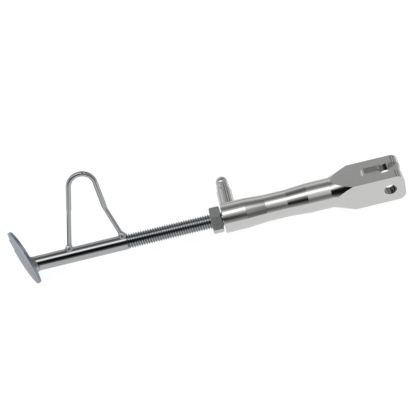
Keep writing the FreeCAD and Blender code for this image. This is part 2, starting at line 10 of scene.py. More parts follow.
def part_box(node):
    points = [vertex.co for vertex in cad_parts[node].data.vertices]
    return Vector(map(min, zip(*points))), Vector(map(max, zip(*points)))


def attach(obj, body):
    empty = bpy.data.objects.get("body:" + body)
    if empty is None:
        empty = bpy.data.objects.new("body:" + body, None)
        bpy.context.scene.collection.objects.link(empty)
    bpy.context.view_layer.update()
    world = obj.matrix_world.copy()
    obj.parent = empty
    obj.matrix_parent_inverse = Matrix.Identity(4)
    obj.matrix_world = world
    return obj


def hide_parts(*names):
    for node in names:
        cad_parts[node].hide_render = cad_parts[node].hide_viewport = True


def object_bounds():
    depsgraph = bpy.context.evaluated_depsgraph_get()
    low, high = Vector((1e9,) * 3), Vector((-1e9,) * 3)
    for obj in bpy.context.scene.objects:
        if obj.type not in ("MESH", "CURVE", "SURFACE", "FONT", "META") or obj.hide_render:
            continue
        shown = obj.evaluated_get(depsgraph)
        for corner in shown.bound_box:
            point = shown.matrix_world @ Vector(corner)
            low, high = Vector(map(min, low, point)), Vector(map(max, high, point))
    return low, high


bl_info = {
    "name": "Side Stand",
    "version": (1, 0, 0),
    "blender": (4, 5, 0),
    "location": "View3D > Sidebar > Side Stand",
    "description": "Builds an adjustable motorcycle side stand round its fixed frame",
    "category": "Add Mesh",
}

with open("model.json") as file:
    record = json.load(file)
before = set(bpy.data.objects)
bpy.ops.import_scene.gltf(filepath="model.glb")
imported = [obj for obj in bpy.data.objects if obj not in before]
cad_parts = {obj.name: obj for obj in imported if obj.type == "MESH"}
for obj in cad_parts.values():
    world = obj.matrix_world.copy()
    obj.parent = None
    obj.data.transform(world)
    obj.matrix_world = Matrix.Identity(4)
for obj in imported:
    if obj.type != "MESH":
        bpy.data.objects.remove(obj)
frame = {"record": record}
FRAME_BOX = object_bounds()
MM = 0.001
OVERLAP = 2 * MM  # how far a cutter runs past what it cuts
MOUNTS = {mount["name"]: mount for mount in frame["record"]["mounts"]}


def length(name, millimetres, description):
    return FloatProperty(name=name, description=description, default=millimetres * MM,
                         min=0.0, unit="LENGTH", subtype="DISTANCE", precision=5)


def slope(name, degrees, description):
    return FloatProperty(name=name, description=description, default=math.radians(degrees),
                         subtype="ANGLE")


def colour(name, value, description):
    return FloatVectorProperty(name=name, description=description, default=value, size=3,
                               min=0.0, max=1.0, subtype="COLOR")


class SideStandSizes(bpy.types.PropertyGroup):
    """Sizes that the frame's boxes don't give."""

    ear_corner: length("Ear corner", 6.5, "Radius of the ears' corners")
    slot_width: length("Slot width", 9.5, "Gap between the ears")
    slot_reach: length("Slot reach", 20.6, "Pivot to the closed end of the slot")
    blend_start: length("Blend start", 46.5, "Pivot to the round part of the body")
    blend_angle: slope("Blend angle", 18.5, "Half angle of the cone between square and round")
    shoulder: length("Shoulder", 24.4, "Diameter next to the square")
    shoulder_length: length("Shoulder length", 18.7, "Length of the shoulder")
    rise_length: length("Rise length", 16.6, "Taper from the waist to the shoulder")
    waist: length("Waist", 22.0, "Thinnest diameter of the body")
    waist_length: length("Waist length", 17.6, "Length of the waist")
    taper_length: length("Taper length", 16.0, "Taper from the collar to the waist")
    collar: length("Collar", 24.5, "Diameter at the threaded end")
    bore_depth: length("Bore depth", 95.0, "Depth of the threaded bore")
    edge: length("Edge", 0.4, "Rounding of machined edges")
    thread: length("Thread", 12.7, "Outer diameter of the thread")
    thread_gap: length("Thread gap", 0.05, "Clearance round the thread")
    pitch: length("Pitch", 1.954, "Distance between two turns of the thread")
    thread_reach: length("Thread reach", 212.5, "Pivot to the start of the thread")
    shank: length("Shank", 12.4, "Diameter of the plain leg")
    foot: length("Foot", 47.0, "Diameter of the foot")
    foot_thickness: length("Foot thickness", 2.5, "Thickness of the foot")
    notch_depth: length("Notch depth", 3.0, "Depth of the notches in the foot's rim")
    foot_bead: length("Foot bead", 8.0, "Radius of the weld on the foot")
    foot_bead_height: length("Foot bead height", 4.5, "Height of the weld on the foot")
    nut_chamfer: slope("Nut chamfer", 30.0, "Chamfer of the nut's corners")
    nut_turn: slope("Nut turn", 0.5, "Angle of the nut's first corner")
    wire: length("Wire", 3.7, "Diameter of the loop's wire")
    sleeve: length("Sleeve", 4.3, "Diameter of the sleeve on the wire")
    loop_lean: slope("Loop lean", 20.0, "Lean of the loop's plane")
    loop_lower: length("Loop lower base", 260.3, "Pivot to the base nearer the foot")
    loop_upper: length("Loop upper base", 213.8, "Pivot to the base nearer the thread")
    loop_height: length("Loop height", 66.65, "Leg's axis to the top of the wire")
    loop_radius: length("Loop radius", 10.75, "Bend at the top of the loop")
    loop_lower_angle: slope("Lower side", 13.06, "Slant of the side nearer the foot")
    loop_upper_angle: slope("Upper side", 5.5, "Slant of the other side above its knee")
    loop_root_angle: slope("Root", 16.0, "Slant of the other side below its knee")
    knee_radius: length("Knee radius", 20.0, "Bend in the side nearer the thread")
    sleeve_lower: length("Sleeve lower end", 39.0, "Height of the sleeve's end, foot side")
    sleeve_upper: length("Sleeve upper end", 34.5, "Height of the sleeve's other end")
    loop_bead: length("Loop bead", 4.3, "Radius of each weld at the loop's base")
    loop_bead_height: length("Loop bead height", 3.8, "Height of each of those welds")
    post_flat: length("Post flat", 10.4, "Leg's axis to the seat of the spring post")
    turning_steps: IntProperty(name="Turning steps", description="Facets round a turned piece",
                               default=128, min=24, max=256)


class SideStandColours(bpy.types.PropertyGroup):
    """Colours of the finishes, before light."""

    aluminium: colour("Aluminium", (0.53, 0.53, 0.525), "Polished body")
    chrome: colour("Chrome", (0.36, 0.37, 0.375), "Leg and wire")
    plating: colour("Plating", (0.50, 0.51, 0.50), "Spring post")
    thread: colour("Thread", (0.30, 0.32, 0.34), "Oiled steel of the thread")
    zinc: colour("Zinc", (0.36, 0.39, 0.38), "Jam nut")
    foot: colour("Foot", (0.22, 0.245, 0.285), "Brushed steel of the foot")
    straw: colour("Straw tint", (0.22, 0.19, 0.11), "Heat tint next to a weld")
    blue: colour("Blue tint", (0.15, 0.18, 0.30), "Heat tint further from a weld")
    floor: colour("Floor", (0.18, 0.18, 0.18), "Studio floor")
    floor_light: colour("Floor light", (1.0, 1.0, 1.0), "Light that comes through the floor")


# ---------------------------------------------------------------- modelling helpers
def only(piece=None):
    """Leave edit mode and select one object, or nothing."""
    if bpy.context.object and bpy.context.object.mode != "OBJECT":
        bpy.ops.object.mode_set(mode="OBJECT")
    bpy.ops.object.select_all(action="DESELECT")
    if piece:
        piece.select_set(True)
        bpy.context.view_layer.objects.active = piece


def draw(name, points, closed=False):
    """A chain of edges, extruded point by point from a single vertex."""
    only()
    bpy.ops.mesh.primitive_plane_add(size=MM)
    piece = bpy.context.object
    piece.name = name
    bpy.ops.object.mode_set(mode="EDIT")
    bpy.ops.mesh.select_mode(type="VERT")
    bpy.ops.mesh.select_all(action="SELECT")
    bpy.ops.mesh.merge(type="CENTER")
    bpy.ops.transform.translate(value=points[0])
    for before, after in zip(points, points[1:]):
        step = Vector(after) - Vector(before)
        bpy.ops.mesh.extrude_region_move(TRANSFORM_OT_translate={"value": step})
    if closed:
        bpy.ops.mesh.select_all(action="SELECT")
        bpy.ops.mesh.edge_face_add()
    bpy.ops.object.mode_set(mode="OBJECT")
    return piece


def modify(piece, kind, **settings):
    """Add a modifier, set it and apply it."""
    only(piece)
    bpy.ops.object.modifier_add(type=kind)
    modifier = piece.modifiers[-1]
    for key, value in settings.items():
        setattr(modifier, key, value)
    if bpy.ops.object.modifier_apply(modifier=modifier.name) != {"FINISHED"}:
        raise RuntimeError(f"{kind} could not be applied to {piece.name}")


def tidy(piece):
    """Merge doubles and turn the faces outwards."""
    only(piece)
    bpy.ops.object.mode_set(mode="EDIT")
    bpy.ops.mesh.select_all(action="SELECT")
    bpy.ops.mesh.remove_doubles(threshold=0.002 * MM)
    bpy.ops.mesh.normals_make_consistent(inside=False)
    bpy.ops.object.mode_set(mode="OBJECT")


def lathe(name, outline, axis="X", steps=None):
    """Turn an outline of (along, radius) points about X or Z."""
    steps = steps or bpy.context.scene.side_stand_sizes.turning_steps
    if axis == "X":
        points = [(along, 0, radius) for along, radius in outline]
    else:
        points = [(radius, 0, along) for along, radius in outline]
    piece = draw(name, points)
    modify(piece, "SCREW", axis=axis, angle=math.tau, steps=steps, render_steps=steps,
           use_merge_vertices=True, merge_threshold=0.002 * MM)
    tidy(piece)
    return piece


def block(name, low, high):
    """A box between two corners, with its place in its mesh."""
    only()
    low, high = Vector(low), Vector(high)
    bpy.ops.mesh.primitive_cube_add(size=1, location=(low + high) / 2, scale=high - low)
    piece = bpy.context.object
    piece.name = name
    bpy.ops.object.transform_apply(location=True, rotation=True, scale=True)
    return piece


def round_edges(piece, test, radius, segments):
    """Bevel the edges whose middle passes a test."""
    only(piece)
    bpy.ops.object.mode_set(mode="EDIT")
    bpy.ops.mesh.select_mode(type="EDGE")
    bpy.ops.mesh.select_all(action="DESELECT")
    mesh = bmesh.from_edit_mesh(piece.data)
    for edge in mesh.edges:
        start, stop = edge.verts[0].co, edge.verts[1].co
        edge.select_set(test((start + stop) / 2, (stop - start).normalized()))
    bmesh.update_edit_mesh(piece.data)
    bpy.ops.mesh.bevel(offset=radius, segments=segments, affect="EDGES")
    bpy.ops.object.mode_set(mode="OBJECT")


def combine(piece, cutter, operation="DIFFERENCE"):
    modify(piece, "BOOLEAN", object=cutter, operation=operation, solver="EXACT")
    bpy.data.objects.remove(cutter)


def place(piece, matrix):
    """Move a piece by a matrix and keep the move in its mesh."""
    only(piece)
    piece.data.transform(matrix)
    if matrix.determinant() < 0:
        tidy(piece)


def roughen(piece, amount, seed):
    """Uneven weld metal: shake the points, always in the same way, then smooth them."""
    only(piece)
    bpy.ops.object.mode_set(mode="EDIT")
    bpy.ops.mesh.select_all(action="SELECT")
    bpy.ops.transform.vertex_random(offset=amount, uniform=0.3, normal=0.7, seed=seed)
    bpy.ops.mesh.vertices_smooth(factor=0.5, repeat=2)
    bpy.ops.object.mode_set(mode="OBJECT")


def soften(piece, width, segments=2, angle=32, crease=30):
    """Round every sharp edge a little, so that it catches the light."""
    only(piece)
    bpy.ops.object.shade_smooth_by_angle(angle=math.radians(crease))
    modify(piece, "BEVEL", width=width, segments=segments, limit_method="ANGLE",
           angle_limit=math.radians(angle), harden_normals=True)


def finish(piece, body, slot, material, *nodes, angle=30):
    """Shade a piece, give it its finish and fix it to its body."""
    if not piece.data.polygons:
        raise RuntimeError(f"{piece.name} came out empty")
    only(piece)
    if not piece.data.has_custom_normals:
        bpy.ops.object.shade_smooth_by_angle(angle=math.radians(angle))
    piece.data.materials.clear()
    piece.data.materials.append(material)
    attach(piece, body)
    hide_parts(*nodes)
    only()
    return piece


# ---------------------------------------------------------------- finishes
def new_group(name, inputs, outputs):
    """An empty node group with named sockets; returns it with its two ends."""
    group = bpy.data.node_groups.new(name, "ShaderNodeTree")
    for socket, kind, default in inputs:
        made = group.interface.new_socket(socket, in_out="INPUT", socket_type=kind)
        if default is not None:
            made.default_value = default
    for socket, kind in outputs:
        group.interface.new_socket(socket, in_out="OUTPUT", socket_type=kind)
    return group, group.nodes.new("NodeGroupInput"), group.nodes.new("NodeGroupOutput")


def grain_group():
    """Fine machining lines and pits, as a height and a tone."""
    name = "Machined Grain"
    if name in bpy.data.node_groups:
        return bpy.data.node_groups[name]
    group, start, end = new_group(name, [
        ("Vector", "NodeSocketVector", None), ("Fineness", "NodeSocketFloat", 2000.0),
        ("Pits", "NodeSocketFloat", 0.3)],
        [("Height", "NodeSocketFloat"), ("Tone", "NodeSocketFloat")])
    link = group.links.new
    lines = group.nodes.new("ShaderNodeTexNoise")
    lines.inputs["Detail"].default_value = 4.0
    link(start.outputs["Vector"], lines.inputs["Vector"])
    link(start.outputs["Fineness"], lines.inputs["Scale"])
    pits = group.nodes.new("ShaderNodeTexVoronoi")
    pits.inputs["Scale"].default_value = 900.0
    link(start.outputs["Vector"], pits.inputs["Vector"])
    depth = group.nodes.new("ShaderNodeMath")
    depth.operation = "MULTIPLY_ADD"
    link(pits.outputs["Distance"], depth.inputs[0])
    link(start.outputs["Pits"], depth.inputs[1])
    link(lines.outputs["Fac"], depth.inputs[2])
    link(depth.outputs[0], end.inputs["Height"])
    link(lines.outputs["Fac"], end.inputs["Tone"])
    return group


def handling_group():
    """Roughness with the soft patches that handling and polishing leave."""
    name = "Handling Marks"
    if name in bpy.data.node_groups:
        return bpy.data.node_groups[name]
    group, start, end = new_group(name, [
        ("Vector", "NodeSocketVector", None), ("Grain", "NodeSocketFloat", 0.5),
        ("Smoothest", "NodeSocketFloat", 0.1), ("Roughest", "NodeSocketFloat", 0.3)],
        [("Roughness", "NodeSocketFloat"), ("Patches", "NodeSocketFloat")])
    link = group.links.new
    cloud = group.nodes.new("ShaderNodeTexNoise")
    cloud.inputs["Scale"].default_value = 60.0
    cloud.inputs["Detail"].default_value = 5.0
    link(start.outputs["Vector"], cloud.inputs["Vector"])
    blend = group.nodes.new("ShaderNodeMath")
    blend.operation = "MULTIPLY_ADD"
    blend.inputs[1].default_value = 0.35
    link(start.outputs["Grain"], blend.inputs[0])
    link(cloud.outputs["Fac"], blend.inputs[2])
    spread = group.nodes.new("ShaderNodeMapRange")
    spread.inputs["From Min"].default_value = 0.35
    spread.inputs["From Max"].default_value = 0.95
    link(blend.outputs[0], spread.inputs["Value"])
    link(start.outputs["Smoothest"], spread.inputs["To Min"])
    link(start.outputs["Roughest"], spread.inputs["To Max"])
    link(spread.outputs["Result"], end.inputs["Roughness"])
    link(cloud.outputs["Fac"], end.inputs["Patches"])
    return group


def heat_group():
    """Heat tint: straw close to a point, blue further out, plain metal beyond."""
    name = "Heat Tint"
    if name in bpy.data.node_groups:
        return bpy.data.node_groups[name]
    group, start, end = new_group(name, [
        ("Vector", "NodeSocketVector", None), ("Inner", "NodeSocketFloat", 0.006),
        ("Outer", "NodeSocketFloat", 0.014), ("Metal", "NodeSocketColor", (0.3, 0.3, 0.3, 1)),
        ("Straw", "NodeSocketColor", (0.3, 0.2, 0.1, 1)),
        ("Blue", "NodeSocketColor", (0.1, 0.1, 0.3, 1)), ("Strength", "NodeSocketFloat", 0.8)],
        [("Color", "NodeSocketColor")])
    link = group.links.new
    wobble = group.nodes.new("ShaderNodeTexNoise")
    wobble.inputs["Scale"].default_value = 250.0
    link(start.outputs["Vector"], wobble.inputs["Vector"])
    distance = group.nodes.new("ShaderNodeVectorMath")
    distance.operation = "LENGTH"
    link(start.outputs["Vector"], distance.inputs[0])
    uneven = group.nodes.new("ShaderNodeMath")
    uneven.operation = "MULTIPLY_ADD"
    uneven.inputs[1].default_value = 0.006
    link(wobble.outputs["Fac"], uneven.inputs[0])
    link(distance.outputs["Value"], uneven.inputs[2])
    reach = group.nodes.new("ShaderNodeMapRange")
    link(uneven.outputs[0], reach.inputs["Value"])
    link(start.outputs["Inner"], reach.inputs["From Min"])
    link(start.outputs["Outer"], reach.inputs["From Max"])
    straw_share = group.nodes.new("ShaderNodeValToRGB")
    straw_share.color_ramp.elements[0].color = (1, 1, 1, 1)
    straw_share.color_ramp.elements[1].position = 0.55
    straw_share.color_ramp.elements[1].color = (0, 0, 0, 1)
    blue_share = group.nodes.new("ShaderNodeValToRGB")
    blue_share.color_ramp.elements[0].position = 0.2
    blue_share.color_ramp.elements[0].color = (0, 0, 0, 1)
    blue_share.color_ramp.elements[1].color = (0, 0, 0, 1)
    blue_share.color_ramp.elements.new(0.55).color = (1, 1, 1, 1)
    link(reach.outputs["Result"], straw_share.inputs["Fac"])
    link(reach.outputs["Result"], blue_share.inputs["Fac"])
    current = start.outputs["Metal"]
    for share, tint in ((blue_share, "Blue"), (straw_share, "Straw")):
        amount = group.nodes.new("ShaderNodeMath")
        amount.operation = "MULTIPLY"
        link(share.outputs["Color"], amount.inputs[0])
        link(start.outputs["Strength"], amount.inputs[1])
        mix = group.nodes.new("ShaderNodeMix")
        mix.data_type = "RGBA"
        link(amount.outputs[0], mix.inputs["Factor"])
        link(current, mix.inputs["A"])
        link(start.outputs[tint], mix.inputs["B"])
        current = mix.outputs["Result"]
    link(current, end.inputs["Color"])
    return group


def metal(name, base, smoothest, roughest, stretch=(1, 1, 1), fineness=1500.0, bump=0.02,
          pits=0.2, contrast=0.12, heat=None):
    """A metal finish: grain along one direction, handling marks and, near welds, heat tint."""
    colours = bpy.context.scene.side_stand_colours
    material = bpy.data.materials.new(name)
    material.use_nodes = True
    nodes, link = material.node_tree.nodes, material.node_tree.links.new
    shader = nodes["Principled BSDF"]
    shader.inputs["Metallic"].default_value = 1.0
    position = nodes.new("ShaderNodeTexCoord")
    mapping = nodes.new("ShaderNodeMapping")
    mapping.inputs["Scale"].default_value = stretch
    link(position.outputs["Object"], mapping.inputs["Vector"])
    grain = nodes.new("ShaderNodeGroup")
    grain.node_tree = grain_group()
    grain.inputs["Fineness"].default_value = fineness
    grain.inputs["Pits"].default_value = pits
    link(mapping.outputs["Vector"], grain.inputs["Vector"])
    handling = nodes.new("ShaderNodeGroup")
    handling.node_tree = handling_group()
    handling.inputs["Smoothest"].default_value = smoothest
    handling.inputs["Roughest"].default_value = roughest
    link(position.outputs["Object"], handling.inputs["Vector"])
    link(grain.outputs["Tone"], handling.inputs["Grain"])
    link(handling.outputs["Roughness"], shader.inputs["Roughness"])
    height = nodes.new("ShaderNodeBump")
    height.inputs["Strength"].default_value = bump
    height.inputs["Distance"].default_value = 0.1 * MM
    link(grain.outputs["Height"], height.inputs["Height"])
    link(height.outputs["Normal"], shader.inputs["Normal"])
    tone = nodes.new("ShaderNodeMix")
    tone.data_type = "RGBA"
    tone.inputs["A"].default_value = (*[c * (1 - contrast) for c in base], 1)
    tone.inputs["B"].default_value = (*[min(1, c * (1 + contrast)) for c in base], 1)
    link(grain.outputs["Tone"], tone.inputs["Factor"])
    current = tone.outputs["Result"]
    for centre, inner, outer, strength in heat or []:
        centred = nodes.new("ShaderNodeMapping")
        centred.inputs["Location"].default_value = -Vector(centre)
        link(position.outputs["Object"], centred.inputs["Vector"])
        tint = nodes.new("ShaderNodeGroup")
        tint.node_tree = heat_group()
        tint.inputs["Inner"].default_value = inner
        tint.inputs["Outer"].default_value = outer
        tint.inputs["Strength"].default_value = strength
        tint.inputs["Straw"].default_value = (*colours.straw, 1)
        tint.inputs["Blue"].default_value = (*colours.blue, 1)
        link(centred.outputs["Vector"], tint.inputs["Vector"])
        link(current, tint.inputs["Metal"])
        current = tint.outputs["Color"]
    link(current, shader.inputs["Base Color"])
    return material


# ---------------------------------------------------------------- places
def foot_frame():
    """The foot's own axes: its X, its Y, its upward normal and the centre of its underside."""
    up = -Vector(MOUNTS["foot_sole"]["axis"]).normalized()
    across = Vector((-up.y, up.x, 0)).normalized()
    return across.cross(up), across, up, Vector(MOUNTS["foot_sole"]["pos_m"])


def foot_weld_centre(sizes):
    """Where the leg's axis meets the foot's upper face."""
    _, _, up, centre = foot_frame()
    top = centre + up * sizes.foot_thickness
    return Vector((top.dot(up) / up.x, 0, 0))


def columns(x, y, z, origin):
    matrix = Matrix((x, y, z)).transposed().to_4x4()
    matrix.translation = origin
    return matrix


def loop_point(sizes, along, height):
    """A point of the loop's leaning plane."""
    lean = sizes.loop_lean
    return Vector((along, height * math.sin(lean), height * math.cos(lean)))


def loop_line(sizes):
    """The loop's centreline as (along, height) points, straight runs with round corners."""
    radius, top = sizes.loop_radius, sizes.loop_height
    lower, upper, root = (math.tan(sizes.loop_lower_angle), math.tan(sizes.loop_upper_angle),
                          math.tan(sizes.loop_root_angle))
    centre = (-sizes.loop_lower + (top - radius) * lower
              + radius / math.cos(sizes.loop_lower_angle))
    side = centre + radius / math.cos(sizes.loop_upper_angle)
    knee = (-sizes.loop_upper - side - (top - radius) * upper) / (root - upper)
    start = sizes.shank / 2 - OVERLAP / 2
    corners = [
        (Vector((-sizes.loop_lower + start * lower, start)), 0),
        (Vector((-sizes.loop_lower + top * lower, top)), radius),
        (Vector((side - radius * upper, top)), radius),
        (Vector((-sizes.loop_upper - knee * root, knee)), sizes.knee_radius),
        (Vector((-sizes.loop_upper - start * root, start)), 0),
    ]
    points = [corners[0][0]]
    for (before, _), (corner, bend), (after, _) in zip(corners, corners[1:], corners[2:]):
        inward = (before - corner).normalized()
        outward = (after - corner).normalized()
        half_turn = (math.pi - inward.angle(outward)) / 2
        reach = bend * math.tan(half_turn)
        middle = corner + (inward + outward).normalized() * bend / math.cos(half_turn)
        first = corner + inward * reach - middle
        sweep = first.angle_signed(corner + outward * reach - middle)
        steps = max(3, round(abs(math.degrees(sweep)) / 5))
        for step in range(steps + 1):
            turned = first.copy()
            turned.rotate(Matrix.Rotation(-sweep * step / steps, 2))
            points.append(middle + turned)
    points.append(corners[-1][0])
    return points


def tube(name, sizes, line, diameter):
    """A round wire along a line of the loop's plane, with closed ends."""
    wire = draw(name, [loop_point(sizes, *point) for point in line])
    only(wire)
    bpy.ops.object.convert(target="CURVE")
    wire = bpy.context.object
    wire.data.bevel_depth = diameter / 2
    wire.data.bevel_resolution = 8
    wire.data.use_fill_caps = True
    bpy.ops.object.convert(target="MESH")
    wire = bpy.context.object
    tidy(wire)
    return wire


# ---------------------------------------------------------------- operators
class SIDESTAND_OT_clevis_body(bpy.types.Operator):
    """Square bar with a forked end, turned down behind it and bored for the leg"""

    bl_idname = "side_stand.clevis_body"
    bl_label = "Clevis Body"

    def execute(self, context):
        sizes = context.scene.side_stand_sizes
        low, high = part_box("clevis_body")
        half = high.z
        piece = block("clevis_body_polished", (low.x, -half, -half), (high.x, half, half))
        round_edges(piece, lambda middle, run: middle.x > high.x - MM and abs(run.y) > 0.9,
                    sizes.ear_corner, 32)
        combine(piece, self.turned_outside(sizes, low.x, half), "INTERSECT")
        slot_half = sizes.slot_width / 2
        slot = block("slot_cutter", (-sizes.slot_reach, -slot_half, -half - OVERLAP),
                     (high.x + OVERLAP, slot_half, half + OVERLAP))
        round_edges(slot, lambda middle, run: middle.x < -sizes.slot_reach + MM
                    and abs(run.z) > 0.9, slot_half * 0.999, 32)
        combine(piece, slot)
        radius = MOUNTS["pivot_bore"]["dims"]["r_mm"] * MM
        combine(piece, self.rod_cutter("pivot_cutter", radius, -half - OVERLAP, half + OVERLAP))
        combine(piece, self.bore(sizes, low.x))
        post_low, post_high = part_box("spring_post")
        post_x = (post_low.x + post_high.x) / 2
        seat = self.rod_cutter("seat_cutter", (post_high.x - post_low.x) / 2 + 0.4 * MM,
                               sizes.post_flat, half + OVERLAP)
        seat.data.transform(Matrix.Translation((post_x, 0, 0)))
        combine(piece, seat)
        soften(piece, sizes.edge, 2, crease=3.2)
        material = metal("Polished Aluminium", context.scene.side_stand_colours.aluminium,
                         0.05, 0.12, stretch=(0.15, 1, 1), bump=0.02, contrast=0.04)
        finish(piece, "clevis", "polished_aluminium", material, "clevis_body")
        return {"FINISHED"}

    def rings(self, sizes):
        """Where the turned outside changes slope, from the square end to the threaded one."""
        places = [-sizes.blend_start]
        for step in (sizes.shoulder_length, sizes.rise_length, sizes.waist_length,
                     sizes.taper_length):
            places.append(places[-1] - step)
        return places

    def turned_outside(self, sizes, end, half):
        _, shoulder, waist, taper, collar = self.rings(sizes)
        wide = 2 * half
        wide_x = -sizes.blend_start + (wide - sizes.shoulder / 2) / math.tan(sizes.blend_angle)
        return lathe("turned_outside", [
            (end, 0), (end, sizes.collar / 2), (collar, sizes.collar / 2),
            (taper, sizes.waist / 2), (waist, sizes.waist / 2),
            (shoulder, sizes.shoulder / 2), (-sizes.blend_start, sizes.shoulder / 2),
            (wide_x, wide), (wide_x + wide, wide), (wide_x + wide, 0)], steps=160)

    def rod_cutter(self, name, radius, low, high):
        cutter = lathe(name, [(low, 0), (low, radius), (high, radius), (high, 0)], "Z")
        cutter.data.transform(Matrix.Rotation(-math.pi / 2, 4, "X"))
        return cutter

    def bore(self, sizes, end):
        radius = sizes.thread / 2 + sizes.thread_gap
        bottom = end + sizes.bore_depth
        return lathe("bore_cutter", [
            (end - OVERLAP, 0), (end - OVERLAP, radius + MM), (end, radius + MM),
            (end + MM, radius), (bottom, radius), (bottom + radius * 0.6, 0)])


class SIDESTAND_OT_spring_post(bpy.types.Operator):
    """Turned post with a ball end that the return spring hooks over"""

    bl_idname = "side_stand.spring_post"
    bl_label = "Spring Post"

    def execute(self, context):
        sizes = context.scene.side_stand_sizes
        low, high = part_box("spring_post")
        base = (high.x - low.x) / 2
        top = high.y
        ball, neck, stem = 5.0 * MM, 3.2 * MM, 3.9 * MM
        bevel, bevel_start, bevel_end = 0.7 * MM, 28.2 * MM, 28.9 * MM
        groove, ring = 4.8 * MM, 5.4 * MM
        ring_start, ring_full, ring_back, ring_end = 29.6 * MM, 29.9 * MM, 34.9 * MM, 35.5 * MM
        outline = [(low.y, 0), (low.y, stem), (sizes.post_flat, stem), (sizes.post_flat, base),
                   (bevel_start, base), (bevel_end, base - bevel), (bevel_end, groove),
                   (ring_start, groove), (ring_full, ring), (ring_back, ring),
                   (ring_end, groove), (ring_end, neck)]
        centre = top - ball
        first = math.asin(neck / ball)
        steps = 20
        for step in range(steps + 1):
            turn = first + (math.pi - first) * step / steps
            outline.append((centre - ball * math.cos(turn), ball * math.sin(turn)))
        outline[-1] = (top, 0)
        piece = lathe("spring_post_plated", outline, "Z")
        turned = Matrix.Rotation(-math.pi / 2, 4, "X")
        place(piece, Matrix.Translation(((low.x + high.x) / 2, 0, 0)) @ turned)
        soften(piece, 0.2 * MM)
        material = metal("Plated Post", context.scene.side_stand_colours.plating, 0.05, 0.14,
                         stretch=(1, 0.2, 1), bump=0.04)
        finish(piece, "clevis", "plated_post", material, "spring_post")
        return {"FINISHED"}


class SIDESTAND_OT_jam_nut(bpy.types.Operator):
    """Hexagon jam nut with chamfered corners"""

    bl_idname = "side_stand.jam_nut"
    bl_label = "Jam Nut"

    def execute(self, context):
        sizes = context.scene.side_stand_sizes
        low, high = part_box("jam_nut")
        corner = max(high.y, high.z) / math.cos(sizes.nut_turn)
        flats = corner * math.cos(math.pi / 6)
        only()
        bpy.ops.mesh.primitive_cylinder_add(vertices=6, radius=corner, depth=high.x - low.x)
        piece = bpy.context.object
        piece.name = "jam_nut_zinc"
        # corners of the primitive start at its own Y; its axis is laid along X
        turn = Matrix.Rotation(sizes.nut_turn, 4, "X") @ Matrix.Rotation(math.pi / 2, 4, "Y")
        place(piece, Matrix.Translation(((low.x + high.x) / 2, 0, 0)) @ turn)
        drop = (corner - flats) * math.tan(sizes.nut_chamfer)
        reach = corner + OVERLAP
        fall = drop * (reach - flats) / (corner - flats)
        middle = (low.x + high.x) / 2
        rim = lathe("chamfer", [(low.x, 0), (low.x, flats), (min(low.x + fall, middle), reach),
                                (max(high.x - fall, middle + 0.01 * MM), reach),
                                (high.x, flats), (high.x, 0)])
        combine(piece, rim, "INTERSECT")
        radius = sizes.thread / 2 + sizes.thread_gap
        bore = lathe("bore_cutter", [
            (low.x - OVERLAP, 0), (low.x - OVERLAP, radius + OVERLAP + MM / 2),
            (low.x + MM / 2, radius), (high.x - MM / 2, radius),
            (high.x + OVERLAP, radius + OVERLAP + MM / 2), (high.x + OVERLAP, 0)])
        combine(piece, bore)
        soften(piece, 0.6 * MM)
        material = metal("Dull Zinc", context.scene.side_stand_colours.zinc, 0.2, 0.38,
                         bump=0.2, pits=0.6, contrast=0.18)
        finish(piece, "nut", "nut_zinc", material, "jam_nut")
        return {"FINISHED"}


class SIDESTAND_OT_leg_rod(bpy.types.Operator):
    """Plain shank with a helical thread, cut off along the tilted foot"""

    bl_idname = "side_stand.leg_rod"
    bl_label = "Leg Rod"

    def execute(self, context):
        sizes = context.scene.side_stand_sizes
        low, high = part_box("leg_rod")
        crest = sizes.thread / 2
        root = crest - 0.6134 * sizes.pitch
        start = -sizes.thread_reach
        tip = high.x
        foot = low.x - sizes.shank
        piece = lathe("leg_shank", [(foot, 0), (foot, sizes.shank / 2),
                                    (start - MM / 2, sizes.shank / 2), (start + MM / 2, root),
                                    (tip, root), (tip, 0)])
        _, _, up, centre = foot_frame()
        only(piece)
        bpy.ops.object.mode_set(mode="EDIT")
        bpy.ops.mesh.select_all(action="SELECT")
        bpy.ops.mesh.bisect(plane_co=centre + up * sizes.foot_thickness, plane_no=up,
                            use_fill=True, clear_inner=True)
        bpy.ops.object.mode_set(mode="OBJECT")
        colours = context.scene.side_stand_colours
        weld = foot_weld_centre(sizes)
        chrome = metal("Leg Chrome", colours.chrome, 0.03, 0.09, stretch=(0.2, 1, 1),
                       bump=0.015, contrast=0.05, heat=[(weld, 6 * MM, 11 * MM, 0.45)])
        finish(piece, "leg", "leg_chrome", chrome, "leg_rod")

        base_half = 0.36 * sizes.pitch
        crest_half = 0.07 * sizes.pitch
        first = start - 0.8 * sizes.pitch  # the thread runs out over the end of the shank
        sunk = root - 0.1 * MM
        ridge = draw("leg_thread", [(first - base_half, 0, sunk), (first - crest_half, 0, crest),
                                    (first + crest_half, 0, crest), (first + base_half, 0, sunk)],
                     closed=True)
        only(ridge)
        bpy.ops.object.mode_set(mode="EDIT")
        bpy.ops.mesh.select_all(action="SELECT")
        bpy.ops.mesh.delete(type="ONLY_FACE")
        bpy.ops.object.mode_set(mode="OBJECT")
        turns = int((tip - first) / sizes.pitch - 0.5)
        modify(ridge, "SCREW", axis="X", angle=math.tau, screw_offset=sizes.pitch,
               iterations=turns, steps=48, render_steps=48, use_merge_vertices=True,
               merge_threshold=0.002 * MM)
        only(ridge)
        bpy.ops.object.mode_set(mode="EDIT")
        bpy.ops.mesh.select_all(action="SELECT")
        bpy.ops.mesh.fill_holes(sides=8)
        bpy.ops.object.mode_set(mode="OBJECT")
        tidy(ridge)
        steel = metal("Thread Steel", colours.thread, 0.04, 0.1, bump=0.04)
        finish(ridge, "leg", "leg_chrome", steel)
        return {"FINISHED"}


